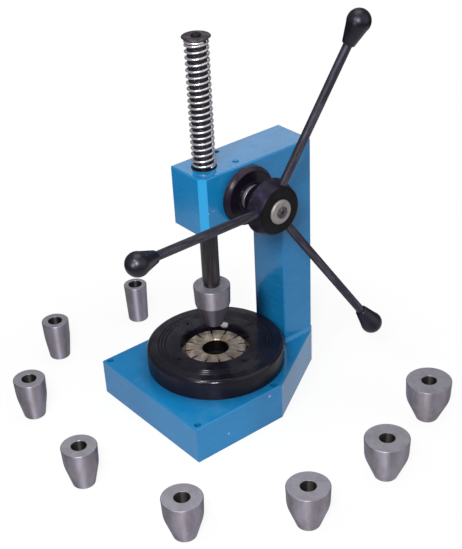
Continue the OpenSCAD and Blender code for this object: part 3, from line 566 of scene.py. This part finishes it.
satin_black = finish_of("satin_black", satin_black_recipe, IOR=1.5, Specular_IOR_Level=0.12)
hub_back, hub_front = (v.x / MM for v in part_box("hub"))
hub_bore_r, hub_back_r, hub_r, hub_front_r, cone_l, rim_w = 7.02, 11, 23, 19, 17, 1
hub_rim = hub_back + cone_l
hub = turned("hub_turned", soften([
    (hub_bore_r, hub_back), (hub_back_r, hub_back), (hub_r, hub_rim), (hub_r, hub_rim + rim_w),
    (hub_front_r, hub_front), (hub_bore_r, hub_front)],
    [0.4, 0.8, 0.8, 0.8, 1.5, 0.4], steps=9), (0, pinion_y, pinion_z), (1, 0, 0))
stand_for(hub, "hub", "handle", satin_black)
washer_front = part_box("hub_washer")[1].x / MM
washer_bore_r, washer_r, washer_bevel = 3.02, 10, 1
hub_washer = turned("hub_washer_turned", soften([
    (washer_bore_r, hub_front), (washer_r, hub_front), (washer_r, washer_front - washer_bevel),
    (washer_r - washer_bevel, washer_front), (washer_bore_r, washer_front)],
    [0.1, 0.2, 0.3, 0.3, 0.2]), (0, pinion_y, pinion_z), (1, 0, 0))


def plated_recipe(place, lathe):
    """Dull zinc plating: cream-grey with fine scratches and a few darker rubs."""
    rub = place.noise(260.0, 4.0, 0.6).step(0.4, 0.75)
    grain = place.noise(2200.0, 3.0, 0.7)
    return {
        "Base_Color": (0.5 * rub + 0.3 * grain).tint(colour(152, 146, 145), colour(104, 98, 98)),
        "Roughness": 0.42 + 0.14 * rub,
        "Normal": place.bump(grain, 0.08, 0.0001, place.rounded(0.0002)),
    }


dull_plating = finish_of("dull_plating", plated_recipe, Metallic=0.35)
stand_for(hub_washer, "hub_washer", "handle", dull_plating)


def grey_screw_recipe(place, lathe):
    """Worn grey screw steel: dark, rubbed lighter in patches."""
    rub = place.noise(500.0, 4.0, 0.6).step(0.35, 0.7)
    return {
        "Base_Color": rub.tint(colour(58, 55, 62), colour(106, 102, 110)),
        "Roughness": 0.36 + 0.14 * rub,
        "Normal": place.bump(place.noise(2400.0, 2.0), 0.08, 0.0001, place.rounded(0.0003)),
    }


dress(finish_of("grey_screw", grey_screw_recipe, Metallic=0.6), "hub_screw")


# Spokes: three drawn steel rods, blued and pushed into the hub's leaning holes. Handling has worn lighter
# streaks along them.
def blued_rod_recipe(place, lathe):
    """Blued steel rod: dark, with lighter worn streaks along the rod and a dull grain."""
    streak = lathe.stretch(8.0, 8.0, 1.0).noise(60.0, 4.0, 0.6).step(0.4, 0.75)
    return {
        "Base_Color": streak.tint(colour(42, 40, 51), colour(77, 73, 87)),
        "Roughness": 0.42 + 0.1 * streak,
        "Normal": place.bump(place.noise(1400.0, 3.0), 0.12, 0.0002),
    }


blued_rod = finish_of("blued_rod", blued_rod_recipe, Metallic=0.4, IOR=1.5)
spoke_angles, spoke_lean, spoke_reach, root_depth = (67.0, 171.5, 302.5), math.radians(12.0), 151.0, 10
outward, sideways = math.sin(spoke_lean), math.cos(spoke_lean)
spoke_root = np.array([hub_front - root_depth, pinion_y, pinion_z])
spoke_length = spoke_reach / sideways
spoke_lines = [np.array([outward, sideways * math.cos(a), sideways * math.sin(a)])
               for a in np.radians(spoke_angles)]
spoke_r, rod_start, short_of_ball = 3.5, 10, 4.6
rod_end = spoke_length - short_of_ball
rod_corners = soften([
    (0, rod_start), (spoke_r, rod_start), (spoke_r, rod_end), (0, rod_end)], [0, 0.4, 0.4, 0])
on_axis = len(rod_corners) // 4
rod_profile = np.vstack([[0, rod_start], rod_corners[on_axis:-on_axis], [0, rod_end]])
for k, line in enumerate(spoke_lines, 1):
    rod = turned(f"spoke_{k}_rod", rod_profile, spoke_root, line, around=40, tip=True)
    stand_for(rod, f"spoke_{k}", "handle", blued_rod)


# Knobs: black moulded plastic, a ball with a straight tapered tail that meets it in a soft crease, pushed
# onto the spokes' ends.
def knob_recipe(place, lathe):
    """Moulded black plastic: a soft gloss, with thumb smears and fine scuffs."""
    smear = place.noise(90.0, 4.0, 0.6).step(0.45, 0.75)
    return {
        "Base_Color": smear.tint(colour(12, 10, 17), colour(20, 17, 27)),
        "Roughness": 0.36 + 0.06 * smear,
        "Normal": place.bump(place.noise(900.0, 2.0), 0.015, 0.0002),
    }


knob_plastic = finish_of("knob_plastic", knob_recipe, IOR=1.5, Specular_IOR_Level=0.55,
                         Specular_Tint=(0.84, 0.82, 1.0, 1.0))
ball_r, tail_r, tail_l, crease, tail_bevel = 9.2, 5.0, 18.0, math.radians(-25), 0.5
mouth_r, mouth_deep = spoke_r + 0.2, 0.6
swing = np.linspace(crease, math.pi / 2, 40)
ball = np.stack([ball_r * np.cos(swing), ball_r * np.sin(swing)], 1)
tail = [[0, mouth_deep - tail_l], [spoke_r, mouth_deep - tail_l], [mouth_r, -tail_l],
        [tail_r - tail_bevel, -tail_l], [tail_r, tail_bevel - tail_l]]
knob_profile = np.vstack([tail, ball])
knob_profile[-1, 0] = 0
for k, line in enumerate(spoke_lines, 1):
    end = spoke_root + line * spoke_length
    knob = turned(f"knob_{k}_moulded", knob_profile, end, line, around=72, tip=True)
    stand_for(knob, f"knob_{k}", "handle", knob_plastic)


# Ram: a blackened round bar with rack teeth milled into its rear side, necked and stepped down at the lower
# end to a spigot for the plugs. A rubber ring on the spigot grips them.
def oxide_recipe(place, lathe):
    """Black-oxided bar: oily near-black with rubbed streaks along the stroke."""
    streak = place.stretch(1.0, 1.0, 0.06).noise(700.0, 4.0, 0.6).step(0.4, 0.75)
    return {
        "Base_Color": streak.tint(colour(44, 40, 44), colour(78, 72, 76)),
        "Roughness": 0.3 + 0.14 * streak,
        "Normal": place.bump(place.noise(1600.0, 2.0), 0.06, 0.0002),
    }


oxide_black = finish_of("oxide_black", oxide_recipe, Metallic=0.6, IOR=1.5)
dress(oxide_black, "ram")


def rubber_recipe(place, lathe):
    """Moulded rubber: dull black with a grey bloom."""
    bloom = place.noise(400.0, 3.0).step(0.4, 0.8)
    return {"Base_Color": bloom.tint(colour(18, 18, 18), colour(44, 43, 42)), "Roughness": 0.7 + 0.15 * bloom}


dress(finish_of("rubber", rubber_recipe), "plug_ring")


# Return spring: bright wire wound round the ram between the seat washer and the cap, one turn closed at each
# end. The real spring shortens as the ram goes down; here it is built at one length.
def coil(name, mean_r, wire_r, low, high, turns, closed, steps=48, sides=12):
    """Coiled wire: the centre runs round mean_r while its height climbs slowly over the first and last turn
    and evenly between; at each place a circle of wire_r stands across it. Both cut ends are closed flat."""
    turn = np.linspace(0, turns, turns * steps + 1)
    climb = np.interp(turn, [0, 1, turns - 1, turns], [low, low + closed, high - closed, high])
    window = np.ones(steps // 2 + 1) / (steps // 2 + 1)
    climb = np.convolve(np.pad(climb, steps // 4, mode="edge"), window, "valid")
    a, s = 2 * np.pi * turn[:, None], 2 * np.pi * np.arange(sides)[None] / sides
    radius, height = mean_r + wire_r * np.cos(s), climb[:, None] + wire_r * np.sin(s)
    points = np.stack([radius * np.cos(a), radius * np.sin(a), height], 2).reshape(-1, 3)
    faces = [f[::-1] for f in grid_faces(len(turn), sides, False, True)]
    end = len(points) - sides
    caps = [list(range(sides)), list(range(end + sides - 1, end - 1, -1))]
    return put_mesh(name, points * MM, faces + caps)


spring_low, spring_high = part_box("return_spring")[0].z / MM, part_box("return_spring")[1].z / MM
spring_r, wire_r, turns, closed_rise, stroke = 8.75, 0.85, 22, 1.8, 41.5
spring = coil("return_spring_wire", spring_r, wire_r, spring_low + wire_r, spring_high - wire_r,
              turns, closed_rise)
stand_for(spring, "return_spring", "frame", bright_wire)
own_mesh(spring)


# Spring cap: a thin turned disc of blackened steel, flared to its rim and let over the ram's end, held by a
# button screw. Handling has worn its black to a purple grey.
cap_low, cap_top = (v.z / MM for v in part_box("spring_cap"))
ram_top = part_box("ram")[1].z / MM
ram_seat_r, skirt_r, cap_r, cap_bevel, screw_hole_r = 7.52, 9.6, 11.2, 0.5, 2.52
cap = turned("spring_cap_turned", soften([
    (ram_seat_r, cap_low), (skirt_r, cap_low), (cap_r, ram_top + (cap_top - ram_top) / 3),
    (cap_r, cap_top - cap_bevel), (cap_r - cap_bevel, cap_top), (screw_hole_r, cap_top),
    (screw_hole_r, ram_top), (ram_seat_r, ram_top)],
    [0.2, 0.3, 0.4, 0.3, 0.3, 0.1, 0.1, 0.1]), (0, 0, 0), around=96)


def worn_black_recipe(place, lathe):
    """Blackened steel that has gone purple grey with handling, darker where oil sits."""
    rub = place.noise(160.0, 5.0, 0.6).step(0.35, 0.7)
    return {
        "Base_Color": rub.tint(colour(58, 51, 57), colour(92, 82, 88)),
        "Roughness": 0.5 - 0.1 * rub,
        "Normal": place.bump(place.noise(2600.0, 1.0), 0.1, 0.0002),
    }


worn_black = finish_of("worn_black", worn_black_recipe, Metallic=0.7)
stand_for(cap, "spring_cap", "ram_body", worn_black)
dress(blackened_steel, "cap_screw")


# Plugs: bright turned steel, a slightly tapered land above a cone, bored through for the spigot, the ends
# faced flat. One sits on the ram, and eight spare sizes stand on the bench, nose down.
def plug_section(r, height, nose, round_r):
    """Section of a plug of this radius, height and nose radius, nose at height 0; round_r softens the edge
    between cone and land."""
    bore, land, taper, bevel = 6.2, 17.0, 0.6, 0.5
    return soften([
        (bore + bevel, 0), (nose - bevel, 0), (nose, bevel), (r - taper, height - land), (r, height - bevel),
        (r - bevel, height), (bore + bevel, height), (bore, height - bevel), (bore, bevel)],
        [0.2, 0.5, 0.8, round_r, 0.2, 0.2, 0.2, 0.2, 0.2], steps=6)


def plug_side_recipe(place, lathe):
    """Turned side: fine feed lines round the axis, purple-grey to brown tarnish in upright clouds, and a
    darker bore. The feed lines spread the light along the axis, which the shader's anisotropy gives."""
    lines = lathe.along("Z").lines(2400.0, 2.0, 0.6)
    clouds = place.stretch(1.0, 1.0, 0.35).noise(95.0, 4.0, 0.6).step(0.35, 0.7)
    rust = place.noise(130.0, 5.0, 0.65).step(0.64, 0.8)
    bore = 1.0 - lathe.radius().step(0.0063, 0.0066)
    steel = clouds.tint(colour(164, 160, 174), colour(144, 135, 142))
    lined = (lines * 0.12).tint(steel, colour(96, 92, 100))
    aged = (rust * 0.45).tint(lined, colour(120, 86, 76))
    return {
        "Base_Color": bore.tint(aged, colour(74, 70, 69)),
        "Roughness": 0.5 + 0.08 * clouds + 0.1 * rust,
        "Normal": place.bump(lines, 0.03, 0.0001),
    }


def plug_end_recipe(place, lathe):
    """Faced end: faint rings, a fine grain and grey-purple tarnish."""
    rings = lathe.radius().lines(1500.0, 2.0, 0.6)
    grain = place.noise(1300.0, 3.0, 0.7)
    tarnish = place.noise(120.0, 4.0, 0.6).step(0.35, 0.7)
    steel = tarnish.tint(colour(166, 164, 174), colour(149, 145, 153))
    return {
        "Base_Color": (0.25 * grain + 0.1 * rings).tint(steel, colour(92, 88, 94)),
        "Roughness": 0.42 + 0.1 * tarnish,
        "Normal": place.bump(grain + 0.5 * rings, 0.05, 0.0001),
    }


def fitted_side_recipe(place, lathe):
    """The same turned side, with the cone that works in the die painted darker as a painted reflection of the
    dark die below it.
    """
    made = plug_side_recipe(place, lathe)
    # painted reflection: the cone below the land is coloured darker
    land = lathe.along("Z").step(0.0203, 0.0211)
    return {**made, "Base_Color": land.tint(colour(98, 95, 105), made["Base_Color"])}


feed_lines = {"Metallic": 0.9, "Anisotropic": 0.85, "Anisotropic_Rotation": 0.25}
plug_side = finish_of("plug_side", plug_side_recipe, **feed_lines)
fitted_side = finish_of("fitted_side", fitted_side_recipe, **feed_lines)
plug_end = finish_of("plug_end", plug_end_recipe, Metallic=0.55)
plugs = [("fitted_plug", "ram_body", fitted_side, 8.25, 0.8)]
plugs += [(f"plug_{k}", f"plug_{k}_body", plug_side, 9.5, 4.0) for k in range(1, 9)]
for name, body, side, nose, round_r in plugs:
    low, high = (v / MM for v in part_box(name))
    section = plug_section((high.x - low.x) / 2, high.z - low.z, nose, round_r)
    plug = turned(f"{name}_turned", section, ((low.x + high.x) / 2, (low.y + high.y) / 2, low.z))
    stand_for(plug, name, body, side)
    face_finish(plug, plug_end, lambda up: up > 0.9)


# Bench and light: a white sheet under the press, a lamp beside the camera, soft lamps around, and the camera
# of the photograph. The camera sees the sheet white; polished faces see it grey, and dark further off.
sheet = bpy.data.materials.new("white_sheet")
sheet.use_nodes = True
tree = sheet.node_tree
tree.nodes.remove(tree.nodes["Principled BSDF"])
place = Shade(tree, tree.nodes.new("ShaderNodeTexCoord").outputs["Object"])
camera_ray, glossy_ray, through_ray = (place.node("ShaderNodeLightPath", {}, {}, out=f"Is {kind} Ray")
                                       for kind in ("Camera", "Glossy", "Transmission"))
near, outside = place.away().step(0.15, 0.26), place.away().step(0.2, 0.5)
beyond = place.away((0.1, 0.1, 0.0)).step(0.5, 0.54)
white, black = (1.0, 1.0, 1.0, 1.0), (0.0, 0.0, 0.0, 1.0)
paper_white, room_grey = (0.9, 0.9, 0.9, 1.0), (0.12, 0.12, 0.13, 1.0)
paper = place.node("ShaderNodeBsdfDiffuse", {}, {"Color": outside.tint(paper_white, room_grey)})
mirrored = glossy_ray.math("MAXIMUM", glossy_ray, through_ray)
shown = mirrored.math("MAXIMUM", mirrored, (0.86 + 0.14 * near) * camera_ray)
seen = (mirrored * (0.36 + 0.59 * beyond)).tint(white, black)
glow = place.node("ShaderNodeEmission", {}, {"Color": seen, "Strength": 1.0})
tree.links.new(place.node("ShaderNodeMixShader", {}, {0: shown, 1: paper, 2: glow}).socket,
               tree.nodes["Material Output"].inputs["Surface"])
half, below = 4, -0.0005
corners = np.array([[-half, -half, below], [half, -half, below], [half, half, below], [-half, half, below]])
bench = put_mesh("bench", corners, [[0, 1, 2, 3]])
bench.data.materials.append(sheet)

world = bpy.data.worlds.new("studio")
bpy.context.scene.world = world
world.use_nodes = True
room = world.node_tree
back, paths = room.nodes["Background"], room.nodes.new("ShaderNodeLightPath")
daylight = (0.92, 0.94, 1.0, 1.0)
camera_ray = Shade(room, paths.outputs["Is Camera Ray"])
room.links.new(camera_ray.tint(daylight, white).socket, back.inputs["Color"])
room.links.new((0.18 + 0.82 * camera_ray).socket, back.inputs["Strength"])
press_middle = Vector((0.02, 0.0, 0.12))


def lamp(name, place, width, height, power):
    """Soft lamp of this width and height, aimed at the middle of the press."""
    light = bpy.data.lights.new(name, "AREA")
    light.shape, light.size, light.size_y, light.energy = "RECTANGLE", width, height, power
    holder = bpy.data.objects.new(name, light)
    bpy.context.scene.collection.objects.link(holder)
    holder.location = place
    aim = press_middle - Vector(place)
    holder.rotation_euler = aim.to_track_quat("-Z", "Y").to_euler()


lamp("beside_camera", (0.63, -0.57, 0.74), 0.16, 0.16, 7.4)
lamp("front_low", (0.15, -0.34, 0.29), 0.06, 0.06, 0.3)
lamp("front_high", (0.17, -0.38, 0.62), 0.1, 0.1, 0.9)
lamp("overhead", (-0.15, 0.15, 1.5), 1.0, 1.0, 7.2)
lamp("back_left", (-2.1, 1.74, 1.4), 1.2, 0.4, 2.1)
lamp("right", (1.5, 0.7, 0.9), 2.0, 2.0, 9.5)

azimuth, elevation, roll = math.radians(53.167), math.radians(36.275), math.radians(-3.469)
level = math.cos(elevation)
look = np.array([-math.sin(azimuth) * level, math.cos(azimuth) * level, -math.sin(elevation)])
right = np.cross(look, [0, 0, 1]) / level
up = np.cross(right, look)
right, up = right * math.cos(roll) + up * math.sin(roll), up * math.cos(roll) - right * math.sin(roll)
target, distance = np.array([96.056, -66.704, 82.402]) * MM, 0.904024
eye = target - look * distance
camera = bpy.data.objects.new("camera", bpy.data.cameras.new("camera"))
bpy.context.scene.collection.objects.link(camera)
camera.matrix_world = Matrix([*np.column_stack([right, up, -look, eye]).tolist(), [0, 0, 0, 1]])
focal, middle, picture, sensor = 1165.11, (223.169, 393.366), (462, 549), 36
camera.data.sensor_width = sensor
camera.data.lens = focal / picture[1] * sensor
camera.data.shift_x = (picture[0] / 2 - middle[0]) / picture[1]
camera.data.shift_y = (middle[1] - picture[1] / 2) / picture[1]
bpy.context.scene.camera = camera
bpy.context.scene.view_settings.view_transform = "Standard"
